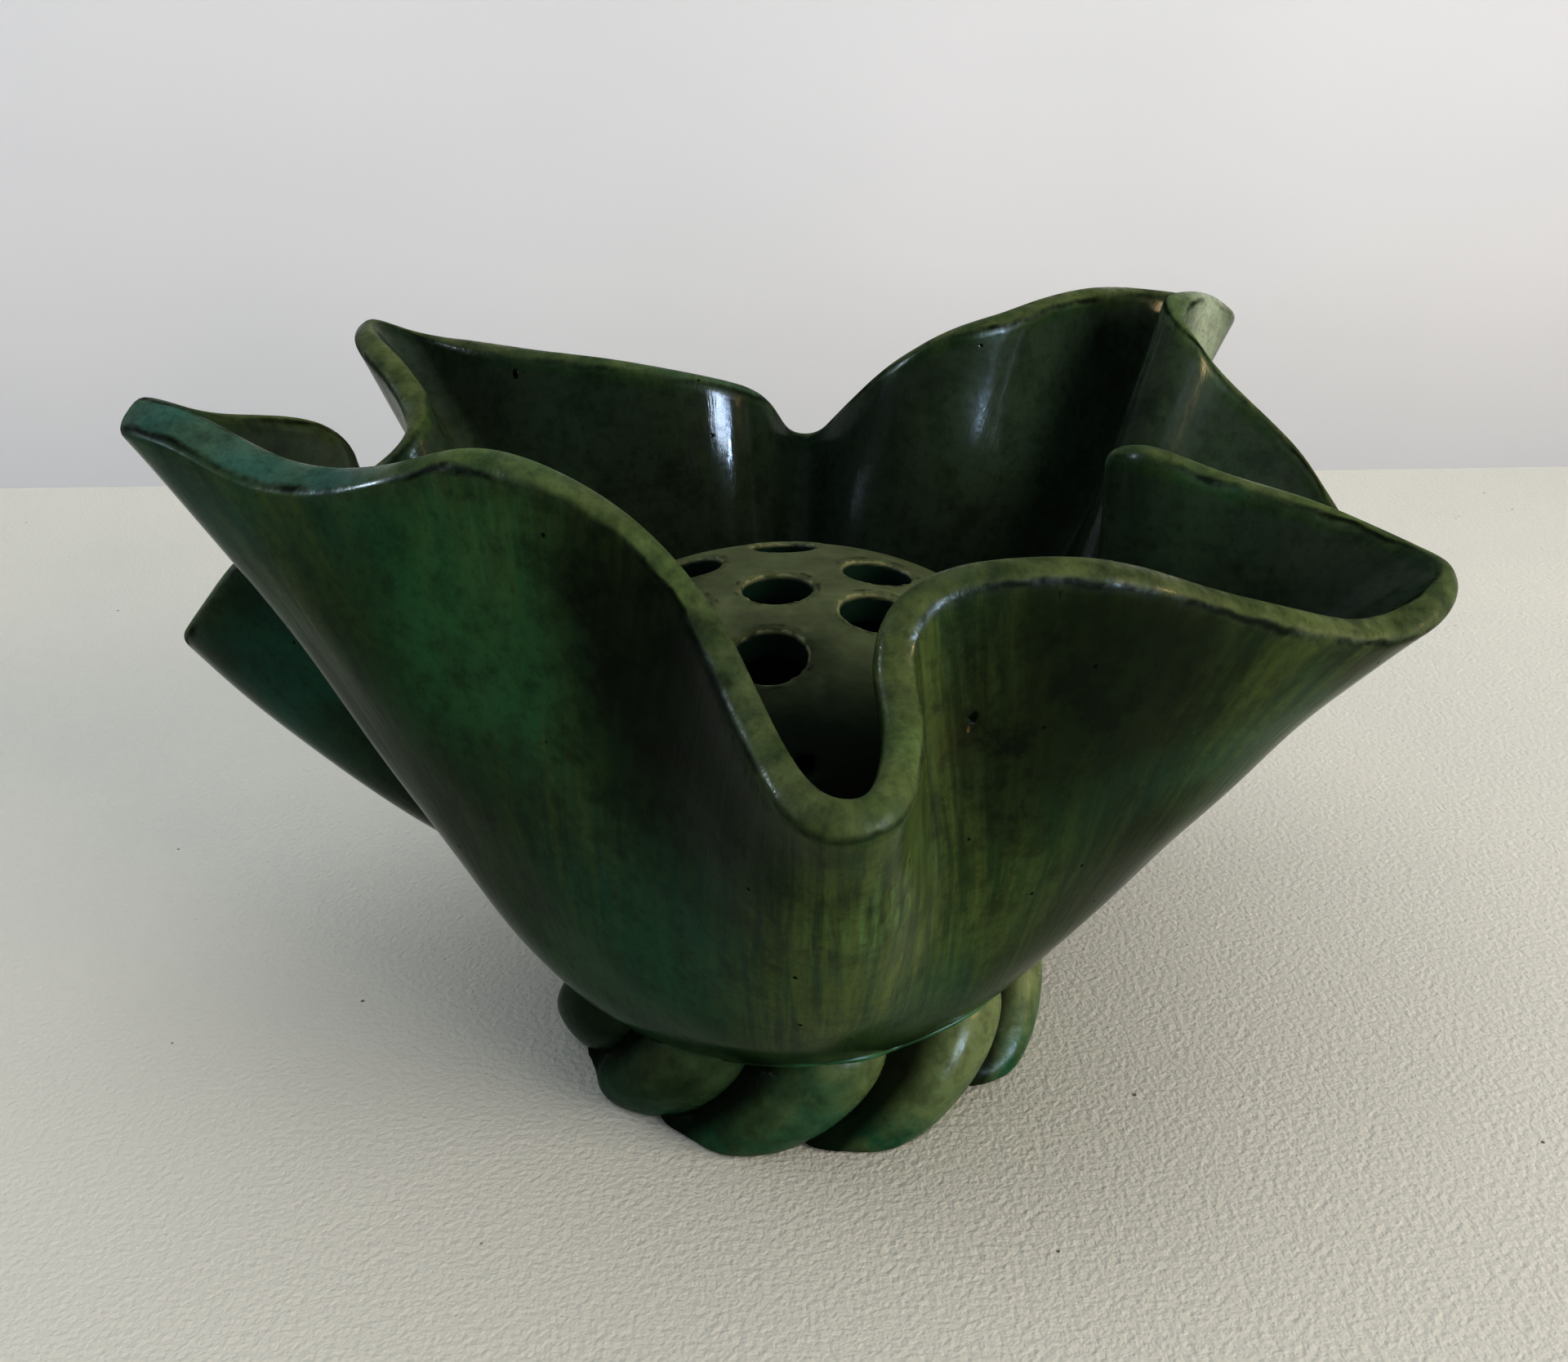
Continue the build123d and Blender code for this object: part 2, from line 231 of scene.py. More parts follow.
class FrogSizes(bpy.types.PropertyGroup):
    radius: length("Radius", "Radius at the widest place", 46)
    base_radius: length("Base radius", "Radius of the base", 34)
    flank: length("Flank", "Height from the base to the widest place", 31)
    height: length("Height", "Height of the dome", (FROG_HIGH.z - FROG_LOW.z) / MM)
    wall: length("Wall", "Thickness of the dome", 5.5)
    hole: length("Stem hole", "Width of each stem hole", 12)
    vent: length("Vent", "Width of the small vent at the front", 3.2)
    vent_height: length("Vent height", "Height of the vent above the base", 51)
    grain: length("Grain", "Fineness of the modelled clay surface", 0.55)


class FootSizes(bpy.types.PropertyGroup):
    half_length: length("Half length", "Half a lobe's length", 23)
    girth: length("Girth", "Half a lobe's thickness", 12.4)
    ring: length("Ring", "Radius of the ring through the lobes' middles", 34)
    lift: length("Lift", "Height of the lobes' middles", 9.6)
    lean: rotation("Lean", "How steeply each lobe rises", 34)
    shift: length("Shift", "How far the foot sits to the right of the bowl's middle", 1.2)
    flat: length("Flat", "Height at which the lobes are cut flat to stand", 0.2)
    hollow: length("Hollow", "Depth of the hollow beside the lobe on the left", 6.5)
    hollow_width: length("Hollow width", "Width of that hollow", 9)
    grain: length("Grain", "Fineness of the modelled clay surface", 0.5)
    bead: length("Bead", "Thickness of the glaze pooled under the bowl", 1.7)


class GlazeColours(bpy.types.PropertyGroup):
    # Deep green and the dark line colour also paint shade, on the bowl's outer front and in the
    # foot's creases and hollows.
    deep: colour("Deep green", "Glaze where it lies thick", "#131d10")
    green: colour("Green", "Glaze of ordinary thickness", "#1e331f")
    teal: colour("Teal", "Blue-green clouds in the glaze", "#1d463a")
    # Lip teal is the glaze's colour at the left tip, made brighter to paint the highlight in the dip
    # beside it.
    lip_teal: colour("Lip teal", "Blue-green glaze on the lip at the left tip", "#3a5f58")
    bright: colour("Bright green", "Glaze of ordinary thickness that fired bright", "#2b5a39")
    olive: colour("Olive", "Glaze where it is thin over the clay", "#4c5a31")
    pale: colour("Pale green", "Glaze that ran and pooled", "#587249")
    dark: colour("Dark line", "Glaze broken at an edge", "#0e1309")
    # Milky glaze at the curled tip, which also paints the sheen there.
    milky: colour("Milky", "Glaze that fired milky at the curled tip", "#97a292")
    inner: colour("Inner green", "Duller glaze inside the bowl", "#38423a")
    band: colour("Lip band", "Greyed olive glaze, thin along the lip", "#626c4a")
    brown: colour("Brown", "Bare clay in a chip", "#6a5230")
    rust: colour("Rust", "Iron brown that shows through thin glaze", "#3b2c18")
    frog: colour("Frog", "Matt grey-olive glaze of the frog", "#5e664b")
    tan: colour("Tan", "Worn glaze at the stem holes", "#8b8c70")


class StudioSettings(bpy.types.PropertyGroup):
    board: colour("Board", "Painted board that it stands on", "#cfcfc9")
    wall: colour("Wall", "Wall behind", "#dcdde0")
    board_depth: length("Board depth", "Distance from the middle to the board's back edge", 317)
    board_turn: rotation("Board turn", "Turn of the board", -2.2)
    camera_back: length("Camera back", "Distance of the camera in front of the middle", 247.6)
    camera_height: length("Camera height", "Height of the camera", 190)
    pitch: rotation("Pitch", "How far the camera looks down", 26)
    roll: rotation("Roll", "Turn of the picture", 1.5)


# ---- mesh helpers

def start_piece():
    """Leaves edit mode with nothing selected."""
    if bpy.context.object and bpy.context.object.mode != "OBJECT":
        bpy.ops.object.mode_set(mode="OBJECT")
    bpy.ops.object.select_all(action="DESELECT")


def pick(piece):
    """Selects one piece alone and makes it the active one."""
    start_piece()
    piece.select_set(True)
    bpy.context.view_layer.objects.active = piece


def name_piece(name):
    """The object just added, named, with its place put into its mesh."""
    piece = bpy.context.object
    piece.name = name
    piece.data.name = name
    bpy.ops.object.transform_apply(location=True, rotation=True, scale=True)
    return piece


def use_modifier(piece, kind, **settings):
    """Adds a modifier, sets it and applies it."""
    bpy.context.view_layer.objects.active = piece
    modifier = piece.modifiers.new(kind, kind)
    for key, value in settings.items():
        setattr(modifier, key, value)
    bpy.ops.object.modifier_apply(modifier=modifier.name)


def vertex_places(piece):
    """Every vertex's place as an array."""
    places = np.zeros(len(piece.data.vertices) * 3)
    piece.data.vertices.foreach_get("co", places)
    return places.reshape(-1, 3)


def vertex_normals(piece):
    """Every vertex's normal as an array."""
    normals = np.zeros(len(piece.data.vertices) * 3)
    piece.data.vertex_normals.foreach_get("vector", normals)
    return normals.reshape(-1, 3)


def move_vertices(piece, places):
    """Puts every vertex where the array says."""
    piece.data.vertices.foreach_set("co", np.asarray(places, float).ravel())
    piece.data.update()


def store(piece, name, values):
    """Keeps a number, or a vector of three, at every vertex for the materials to read."""
    values = np.asarray(values, np.float32)
    kind, key = ("FLOAT", "value") if values.ndim == 1 else ("FLOAT_VECTOR", "vector")
    piece.data.attributes.new(name, kind, "POINT").data.foreach_set(key, values.ravel())


def tidy_mesh(piece):
    """Merges doubles and points every face outwards."""
    pick(piece)
    bpy.ops.object.mode_set(mode="EDIT")
    bpy.ops.mesh.select_all(action="SELECT")
    bpy.ops.mesh.remove_doubles(threshold=SAME_PLACE)
    bpy.ops.mesh.normals_make_consistent(inside=False)
    bpy.ops.object.mode_set(mode="OBJECT")


def cut_below(piece, height):
    """Cuts away what lies below a height, closes the cut and points every face outwards."""
    pick(piece)
    bpy.ops.object.mode_set(mode="EDIT")
    bpy.ops.mesh.select_all(action="SELECT")
    bpy.ops.mesh.bisect(plane_co=(0, 0, height), plane_no=(0, 0, 1), use_fill=True,
                        clear_inner=True)
    bpy.ops.mesh.normals_make_consistent(inside=False)
    bpy.ops.object.mode_set(mode="OBJECT")


def finish_piece(piece, material, body, slot, *nodes):
    """Gives a piece its glaze and its place in the frame."""
    pick(piece)
    bpy.ops.object.shade_smooth()
    piece.data.materials.clear()
    piece.data.materials.append(material)
    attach(piece, body)
    if nodes:
        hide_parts(*nodes)


def smoothstep(low, high, values):
    """0 below low, 1 above high, and a soft step between."""
    share = np.clip((values - low) / (high - low), 0, 1)
    return share * share * (3 - 2 * share)


def unit(vectors):
    """Vectors of length 1."""
    return vectors / np.linalg.norm(vectors, axis=-1, keepdims=True)


def polar(turn, radius, height):
    """Points at angles in degrees, radii and heights."""
    turn = np.radians(np.asarray(turn, float))
    return np.stack([radius * np.cos(turn), radius * np.sin(turn), height + 0 * turn], axis=-1)


def softened(points, passes):
    """A closed row of points with its waves evened out."""
    for _ in range(passes):
        points = (np.roll(points, 1, axis=0) + points * 2 + np.roll(points, -1, axis=0)) / 4
    return points


def ridges(piece):
    """How sharply the surface bulges at each vertex, per metre: above 0 on a ridge, below in a
    hollow. It is evened out over a few neighbours."""
    places, normals = vertex_places(piece), vertex_normals(piece)
    ends = np.zeros(len(piece.data.edges) * 2, int)
    piece.data.edges.foreach_get("vertices", ends)
    a, b = ends.reshape(-1, 2).T
    step = places[b] - places[a]
    size = np.maximum((step**2).sum(axis=1), 1e-12)
    bend = ((normals[b] - normals[a]) * step).sum(axis=1) / size
    count = np.maximum(np.bincount(ends, minlength=len(places)), 1)
    value = np.bincount(ends, np.repeat(bend, 2), len(places)) / count
    for _ in range(12):
        around = np.bincount(a, value[b], len(places)) + np.bincount(b, value[a], len(places))
        value = 0.5 * value + 0.5 * around / count
    return value


# ---- the bowl's sheet

def sheet_curves(sizes):
    """The four control points of the sheet's middle line, from foot to lip, at each lip point."""
    angle, out, up, grows, lift = np.array(LIP, float).T
    foot = polar(grows, sizes.joint_radius, sizes.foot_height)
    belly = polar(grows, sizes.belly_radius, sizes.foot_height + sizes.belly_rise)
    lip = polar(angle, sizes.fold_radius + out * MM, sizes.lip_height + up * MM)
    lip = lip - unit(lip - belly) * (sizes.wall / 2)
    # Where the belly's curve is lifted less, it acts further up the sheet.
    share = sizes.belly_share + 0.008 * (12 - lift)
    flank = belly + (softened(lip, 2) - belly) * share[:, None]
    flank[:, 2] += lift * MM
    return foot, belly, flank, lip


def lip_knots(sizes):
    """Where each lip point lies along the closed lip, from 0 to 1."""
    angle, out, up = np.array(LIP, float).T[:3]
    edge = polar(angle, sizes.fold_radius / MM + out, sizes.lip_height / MM + up)
    steps = np.linalg.norm(np.roll(edge, -1, axis=0) - edge, axis=1) ** KNOT_POWER
    return np.concatenate([[0], np.cumsum(steps)]) / steps.sum()


class ClosedSpline:
    """A smooth closed curve through points at fixed knots, read at wanted places."""

    def __init__(self, knots, wanted):
        count = len(knots) - 1
        self.gap, matrix = np.diff(knots), np.zeros((count, count))
        for i in range(count):
            matrix[i, i - 1] += self.gap[i - 1]
            matrix[i, i] += 2 * (self.gap[i - 1] + self.gap[i])
            matrix[i, (i + 1) % count] += self.gap[i]
        self.inverse = np.linalg.inv(matrix)
        self.cell = np.clip(np.searchsorted(knots, wanted, side="right") - 1, 0, count - 1)
        self.after = (wanted - knots[self.cell])[:, None]

    def bends(self, points):
        """The curve's second derivative at each of its own points."""
        slope = (np.roll(points, -1, axis=0) - points) / self.gap[:, None]
        return self.inverse @ (6 * (slope - np.roll(slope, 1, axis=0)))

    def read(self, points):
        """The curve's points at the wanted places."""
        bend = self.bends(points)
        k, j = self.cell, (self.cell + 1) % len(points)
        gap = self.gap[k][:, None]
        a, b = self.after, gap - self.after
        return (bend[k] * b**3 + bend[j] * a**3) / (6 * gap) + (
            points[k] / gap - bend[k] * gap / 6) * b + (points[j] / gap - bend[j] * gap / 6) * a

    def directions(self, points):
        """The curve's direction at each of its own points."""
        bend, gap = self.bends(points), self.gap[:, None]
        front_shade_height = (np.roll(points, -1, axis=0) - points) / gap
        return unit(front_shade_height - gap * (2 * bend + np.roll(bend, -1, axis=0)) / 6)


def sheet_level(curves, t, spline):
    """The sheet's middle at t, with its outward normal and rising direction at each lip point."""
    a, b, c, d = curves
    s = 1 - t
    middle = a * s**3 + b * (3 * t * s * s) + c * (3 * t * t * s) + d * t**3
    rising = unit((b - a) * (s * s) + (c - b) * (2 * s * t) + (d - c) * (t * t))
    outward = unit(np.cross(spline.directions(middle), rising))
    return middle, outward, rising


def sheet_rows(sizes, around, up_steps, lip_steps):
    """Rows of points up the outside, over the lip and down the inside to the middle of the floor.

    Returns the rows, each row's share of the way up, and which side each is on (1 outside,
    0 the lip's crown, -1 inside)."""
    curves = sheet_curves(sizes)
    spline = ClosedSpline(lip_knots(sizes), np.arange(around) / around)
    grows = np.array(LIP, float)[:, 3:4] % 360
    rolled, dipped = [np.exp(-((grows - at) / TIP_REACH) ** 2) for at in (LEFT_TIP, FRONT_DIP)]
    # The sheet was pinched thinner towards its edge, but rolled thick at the left tip.
    edge = sizes.lip + (sizes.roll - sizes.lip) * rolled
    shares = np.linspace(0, 1, up_steps + 1)
    outside, lip, inside = [], [], []
    for t in shares:
        middle, outward, rising = sheet_level(curves, t, spline)
        half = (sizes.wall + (edge - sizes.wall) * smoothstep(0.6, 1.0, t)) / 2
        outside.append(spline.read(middle + outward * half))
        inside.append(spline.read(middle - outward * half))
    turns = np.pi * np.arange(1, lip_steps) / lip_steps
    for turn in turns:
        # A little squarer than round, as a cut edge that was sponged is.
        across = math.copysign(abs(math.cos(turn)) ** LIP_POWER, math.cos(turn))
        above = math.sin(turn) ** LIP_POWER + (sizes.wall / edge - 1) * math.sin(turn)
        # Worn lower on its outer side, most of all where it is rolled and in the front dip.
        above = above * (1 - (LIP_WEAR + TIP_WEAR * (rolled + dipped)) * (1 + across) / 2)
        lip.append(spline.read(middle + outward * (half * across) + rising * (half * above)))
    under, floor = [[side[0] * [r, r, 1] for r in DISC_RINGS] for side in (outside, inside)]
    rows = under + outside + lip + inside[::-1] + floor[::-1]
    flat = [0.0] * len(DISC_RINGS)
    share = flat + list(shares) + [1.0] * len(lip) + list(shares[::-1]) + flat
    side = [1.0] * len(under + outside) + list(np.cos(turns)) + [-1.0] * len(inside + floor)
    return np.array(rows), np.array(share), np.array(side)


def runs(kind, places):
    """How strongly the chance runs of one kind show at each place. They are half as tall again as
    they are wide, as they ran down."""
    total = np.zeros(len(places))
    for x, y, z, reach, strength in GLAZE_RUNS[kind]:
        off = (places - np.array([x, y, z]) * MM) / (reach * MM) / [1, 1, 1.5]
        total += strength * np.exp(-(off**2).sum(axis=1))
    return np.clip(total, 0, 1)


class ADD_OT_ruffled_bowl(bpy.types.Operator):
    """Model the ruffled bowl: one clay sheet folded into lobes, with a rounded lip"""
    bl_idname = "flower_frog.add_bowl"
    bl_label = "Ruffled bowl"

    def execute(self, context):
        sizes = context.scene.bowl_sizes
        around, up_steps, lip_steps = 640, 56, 12
        rows, share, side = sheet_rows(sizes, around, up_steps, lip_steps)
        start_piece()
        # A flat sheet of clay, then bent round and folded vertex by vertex: no single operator
        # gives this lip. Its two ends meet, and its two long sides close to the middle.
        bpy.ops.mesh.primitive_grid_add(x_subdivisions=around, y_subdivisions=len(rows) - 1,
                                        size=1, location=(0, 0, 0))
        bowl = name_piece("ruffled_bowl")
        flat = vertex_places(bowl)
        column = np.rint((flat[:, 0] + 0.5) * around).astype(int)
        row = np.rint((flat[:, 1] + 0.5) * (len(rows) - 1)).astype(int)
        move_vertices(bowl, rows[row, column % around])

        # How far along the sheet each place lies, and the angle at the foot that it grows from, as
        # a place on a small circle, so that streaks run from lip to foot and close up all round.
        grows = np.array(LIP, float)[:, 3]
        angle = np.interp(column / around, lip_knots(sizes), np.append(grows, grows[0] + 360))
        steps = np.linalg.norm(np.diff(rows, axis=0), axis=2)
        along = np.vstack([np.zeros(around), np.cumsum(steps, axis=0)])
        crown = len(DISC_RINGS) + up_steps + lip_steps // 2
        store(bowl, "flow", polar(angle, 60 * MM, along[row, column % around]))
        store(bowl, "from_crown", (along - along[crown])[row, column % around])
        store(bowl, "up_sheet", np.where(side < 0, 2 - share, share)[row])
        tidy_mesh(bowl)
        places, up_sheet = vertex_places(bowl), np.zeros(len(bowl.data.vertices))
        bowl.data.attributes["up_sheet"].data.foreach_get("value", up_sheet)
        # Pressing by hand left soft waves 40 to 75 mm long, but not under the frog or the bowl.
        x, y, z = places.T / MM
        waves = (np.sin(x / 7.3 + z / 11) * np.sin(y / 6.1 - z / 9.7)
                 + np.sin(x / 12.1 - y / 9.3) * np.sin(z / 8.9 + 1))
        pressed = waves * sizes.unevenness / 2 * smoothstep(0.1, 0.3, up_sheet) * (
            1 - smoothstep(1.7, 1.9, up_sheet))
        move_vertices(bowl, places + vertex_normals(bowl) * pressed[:, None])
        for kind in GLAZE_RUNS:
            store(bowl, kind, runs(kind, vertex_places(bowl)))
        store(bowl, "ridge", ridges(bowl))
        finish_piece(bowl, bowl_glaze(context), "bowl", "bowl_glaze", "bowl")
        return {"FINISHED"}


# ---- the foot

def lobe_matrix(sizes, angle):
    """From a ball of radius 1 to a leaning lobe at an angle round the foot."""
    return (Matrix.Translation((sizes.shift, 0, 0)) @ Matrix.Rotation(math.radians(angle), 4, "Z")
            @ Matrix.Translation((sizes.ring, 0, sizes.lift))
            @ Matrix.Rotation(sizes.lean, 4, "X") @ Matrix.Rotation(math.radians(90), 4, "Z")
            @ Matrix.Diagonal((sizes.half_length, sizes.girth, sizes.girth, 1)))


def in_lobe(sizes, angle, places):
    """Places measured in a lobe's own frame, where its surface is the ball of radius 1 and its
    high end is at 1 along the first axis."""
    inverse = np.array(lobe_matrix(sizes, angle).inverted())
    return (np.c_[places, np.ones(len(places))] @ inverse.T)[:, :3]


def clear_of(sizes, angle, places):
    """How far places stand clear of a lobe, roughly, in metres."""
    return (np.linalg.norm(in_lobe(sizes, angle, places), axis=1) - 1) * sizes.girth


class ADD_OT_foot_lobes(bpy.types.Operator):
    """Model the foot: fat lobes laid round like a rope, each tucked under the one on its left"""
    bl_idname = "flower_frog.add_foot"
    bl_label = "Twisted foot"

    def execute(self, context):
        sizes, bowl = context.scene.foot_sizes, context.scene.bowl_sizes
        glaze = foot_glaze(context)
        for number, angle in enumerate(LOBE_CENTRES):
            start_piece()
            bpy.ops.mesh.primitive_uv_sphere_add(segments=72, ring_count=48, radius=1)
            lobe = name_piece(f"foot_coil_{number + 1}")
            lobe.data.transform(lobe_matrix(sizes, angle))
            cut_below(lobe, sizes.flat)
            use_modifier(lobe, "REMESH", mode="VOXEL", voxel_size=sizes.grain)
            use_modifier(lobe, "SMOOTH", factor=0.5, iterations=6)
            # A hollow, deepest right beside the lobe on the left, which overlaps this one, and
            # none at this lobe's two ends.
            places = vertex_places(lobe)
            clear = clear_of(sizes, LOBE_CENTRES[number - 1], places)
            beside = 1 - smoothstep(0.0, sizes.hollow_width, clear)
            along = in_lobe(sizes, angle, places)[:, 0]
            depth = sizes.hollow * beside * smoothstep(-1.0, -0.55, along)
            depth *= 1 - smoothstep(0.35, 1.0, along)
            places += unit(places * [-1, -1, 0] + [sizes.shift, 0, 0]) * depth[:, None]
            # The top ends in the middle of the bowl's clay.
            slope = bowl.belly_rise / (bowl.belly_radius - bowl.joint_radius)
            reach = np.hypot(places[:, 0], places[:, 1]) - bowl.joint_radius
            top = bowl.foot_height + np.maximum(reach, 0) * slope
            places[:, 2] = np.minimum(places[:, 2], top)
            move_vertices(lobe, places)
            use_modifier(lobe, "SMOOTH", factor=0.5, iterations=4)
            # For the glaze: the ridges turn olive, and the creases and the hollow get painted shade.
            store(lobe, "ridge", ridges(lobe))
            store(lobe, "hollow", beside)
            finish_piece(lobe, glaze, "bowl", "foot_glaze", f"foot_lobe_{number + 1}")
        return {"FINISHED"}


class ADD_OT_glaze_bead(bpy.types.Operator):
    """Model the line of pale glaze that pooled where the bowl meets its foot"""
    bl_idname = "flower_frog.add_bead"
    bl_label = "Pooled glaze"

    def execute(self, context):
        sizes, bowl = context.scene.foot_sizes, context.scene.bowl_sizes
        around, up_steps = 240, 90
        rows, share, side = sheet_rows(bowl, around, up_steps, 4)
        # The seam: up the outside, the last place of each column that a lobe covers.
        rows = rows[(share < 0.35) & (side > 0)][len(DISC_RINGS):]
        seam = []
        for column in range(around):
            line = rows[:, column]
            depth = np.min([clear_of(sizes, angle, line) for angle in LOBE_CENTRES], axis=0)
            inside = np.nonzero(depth < 0)[0]
            seam.append(line[inside[-1] if len(inside) else 0])
        seam = softened(np.array(seam), 3)
        start_piece()
        bpy.ops.curve.primitive_bezier_circle_add(radius=bowl.joint_radius)
        bead = bpy.context.object
        bead.data.splines.clear()
        spline = bead.data.splines.new("POLY")
        spline.points.add(around - 1)
        spline.points.foreach_set("co", np.c_[seam, np.ones(around)].ravel())
        # It swells and thins by chance, and is thinner towards the left.
        column = np.arange(around)
        swell = 0.75 + 0.25 * np.sin(column * 0.31) * np.sin(column * 0.113 + 1)
        swell *= 0.3 + 0.7 * smoothstep(-18 * MM, -2 * MM, seam[:, 0])
        spline.points.foreach_set("radius", swell)
        spline.use_cyclic_u = True
        bead.data.dimensions = "3D"
        bead.data.bevel_depth = sizes.bead / 2
        bead.data.bevel_resolution = 4
        bpy.ops.object.convert(target="MESH")
        bead = name_piece("pooled_glaze")
        tidy_mesh(bead)
        finish_piece(bead, bead_glaze(context), "bowl", "foot_glaze")
        return {"FINISHED"}


# ---- the frog

def cut_hole(piece, radius, middle, turn, depth):
    """Pushes a round hole through a piece."""
    start_piece()
    bpy.ops.mesh.primitive_cylinder_add(vertices=64, radius=radius, depth=depth, location=middle,
                                        rotation=turn)
    plug = name_piece("plug")
    use_modifier(piece, "BOOLEAN", operation="DIFFERENCE", object=plug, solver="EXACT")
    bpy.data.objects.remove(plug)


def dome_depth(sizes, places):
    """How far each place lies outside the dome's crown, roughly, in metres."""
    crown = sizes.height - sizes.flank
    out = np.hypot(places[:, 0], places[:, 1]) / sizes.radius
    up = np.maximum(places[:, 2] - sizes.flank, 0) / crown
    return ((out**CROWN_POWER + up**CROWN_POWER) ** (1 / CROWN_POWER) - 1) * crown


class ADD_OT_flower_frog(bpy.types.Operator):
    """Model the frog: a hollow dome, closed by a base, with stem holes pushed through by hand"""
    bl_idname = "flower_frog.add_frog"
    bl_label = "Flower frog"

    def execute(self, context):
        sizes = context.scene.frog_sizes
        start_piece()
        bpy.ops.mesh.primitive_uv_sphere_add(segments=128, ring_count=96, radius=1)
        frog = name_piece("pierced_dome")
        places = vertex_places(frog)
        # Lay the ball's rings onto the dome's outline: crown, flank and the base's flat disc.
        ring = np.arccos(np.clip(places[:, 2], -1, 1)) / math.pi
        turn = np.clip(ring / CROWN_RINGS, 0, 1) * (math.pi / 2)
        low = np.clip((ring - CROWN_RINGS) / (OUTER_RINGS - CROWN_RINGS), 0, 1)
        crown = sizes.height - sizes.flank
        out = np.where(ring > CROWN_RINGS,
                       sizes.radius - (sizes.radius - sizes.base_radius) * low**2,
                       sizes.radius * np.sin(turn) ** (2 / CROWN_POWER))
        out = np.where(ring > OUTER_RINGS,
                       sizes.base_radius * np.clip((1 - ring) / (1 - OUTER_RINGS), 0, 1), out)
        up = np.where(ring > CROWN_RINGS, sizes.flank * (1 - low),
                      sizes.flank + crown * np.cos(turn) ** (2 / CROWN_POWER))
        flat = np.maximum(np.hypot(places[:, 0], places[:, 1]), 1e-9)
        places = np.c_[places[:, 0] / flat * out, places[:, 1] / flat * out, up]
        places[flat < 1e-6, :2] = 0
        move_vertices(frog, places)
        # Dome and base get the wall's thickness, and then the holes are pushed through.
        use_modifier(frog, "SOLIDIFY", thickness=sizes.wall, offset=-1, use_even_offset=True)
        holes = [polar(angle, distance * MM, 0.75 * sizes.height) for angle, distance in STEM_PLACES]
        for hole in holes:
            cut_hole(frog, sizes.hole / 2, hole, (0, 0, 0), sizes.height)
        cut_hole(frog, sizes.vent / 2, polar(VENT_ANGLE, sizes.radius, sizes.vent_height),
                 (0, math.radians(90), math.radians(VENT_ANGLE)), sizes.radius)
        use_modifier(frog, "REMESH", mode="VOXEL", voxel_size=sizes.grain)
        use_modifier(frog, "SMOOTH", factor=0.5, iterations=6)
        # The even voxels lie closer than the smooth flanks need.
        use_modifier(frog, "DECIMATE", ratio=0.45)
        places, normals = vertex_places(frog), vertex_normals(frog)
        gaps = [np.hypot(places[:, 0] - x, places[:, 1] - y) - sizes.hole / 2 for x, y, _ in holes]
        upper = places[:, 2] > sizes.flank
        nearest = np.where(upper, np.min(gaps, axis=0), 50 * MM)
        # Pushing the holes through left a faint swelling round each.
        swell = 0.2 * MM * np.exp(-((nearest - 1.2 * MM) / (0.9 * MM)) ** 2)
        swell *= smoothstep(0.1, 0.5, normals[:, 2])
        places = places + normals * swell[:, None]
        depth = np.where(upper, dome_depth(sizes, places), 0)
        places[:, 2] += FROG_LOW.z
        move_vertices(frog, places)
        store(frog, "from_hole", nearest)
        store(frog, "outside", smoothstep(-0.8 * MM, -0.2 * MM, depth))
        finish_piece(frog, frog_glaze(context), "frog", "frog_glaze", "frog")
        return {"FINISHED"}


# ---- glazes

# What the columns of a table of nodes are: settings in small letters, and inputs. Apart is the
# distance between a pattern's features in millimetres, which gives its scale.
NOISE = ("Vector", "Apart", "Detail", "Roughness", "Distortion")
RANGE = ("Value", "From Min", "From Max", "To Min", "To Max")
MATH = ("operation", 0, 1, 2, "use_clamp")


class Glaze:
    """A material in the making: its nodes, and their outputs by name."""

    def __init__(self, name, *stored):
        """Starts with the place on the piece, and with numbers stored at its vertices."""
        self.material = bpy.data.materials.new(name)
        self.material.use_nodes = True
        self.tree = self.material.node_tree
        self.tree.nodes.clear()
        self.made = {}
        self.add("place", "TexCoord", {}, out="Object")
        for value in stored:
            self.add(value, "Attribute", {"attribute_name": value}, out="Fac")

    def add(self, name, kind, values, stops=(), out=0):
        """Adds one shader node and keeps one of its outputs under a name. Where an input's value
        is the name of an earlier output, that is linked. Stops are the places and colours of a
        colour ramp."""
        node = self.tree.nodes.new("ShaderNode" + kind)
        for index, (place, shade) in enumerate(stops):
            if index == len(node.color_ramp.elements):
                node.color_ramp.elements.new(place)
            node.color_ramp.elements[index].position = place
            node.color_ramp.elements[index].color = shade
        for key, value in values.items():
            if key == "Apart":
                node.inputs["Scale"].default_value = 1000 / value
            elif str(key).islower():
                setattr(node, key, value)
            elif isinstance(value, str):
                self.tree.links.new(self.made[value], node.inputs[key])
            else:
                node.inputs[key].default_value = value
        self.made[name] = node.outputs[out]

    def add_rows(self, kind, keys, rows):
        """Adds a node for each row of a table, which holds its name and then values for keys."""
        for name, *values in rows:
            self.add(name, kind, dict(zip(keys, values)))

    def finish(self, tone, layers, rough, height, depth, gloss):
        """Lays colours over tone, each by its share, and ends in the shader of every glaze."""
        for share, shade in layers:
            self.add("tone", "Mix", {"data_type": "RGBA", 0: share, 6: tone, 7: shade}, out=2)
            tone = "tone"
        self.add("bump", "Bump", {"Strength": 1.0, "Distance": depth, "Height": height})
        self.add("shader", "BsdfPrincipled", {
            "Base Color": tone, "Roughness": rough, "IOR": 1.5, "Specular IOR Level": gloss,
            "Normal": "bump"})
        output = self.tree.nodes.new("ShaderNodeOutputMaterial")
        self.tree.links.new(self.made["shader"], output.inputs["Surface"])
        return self.material


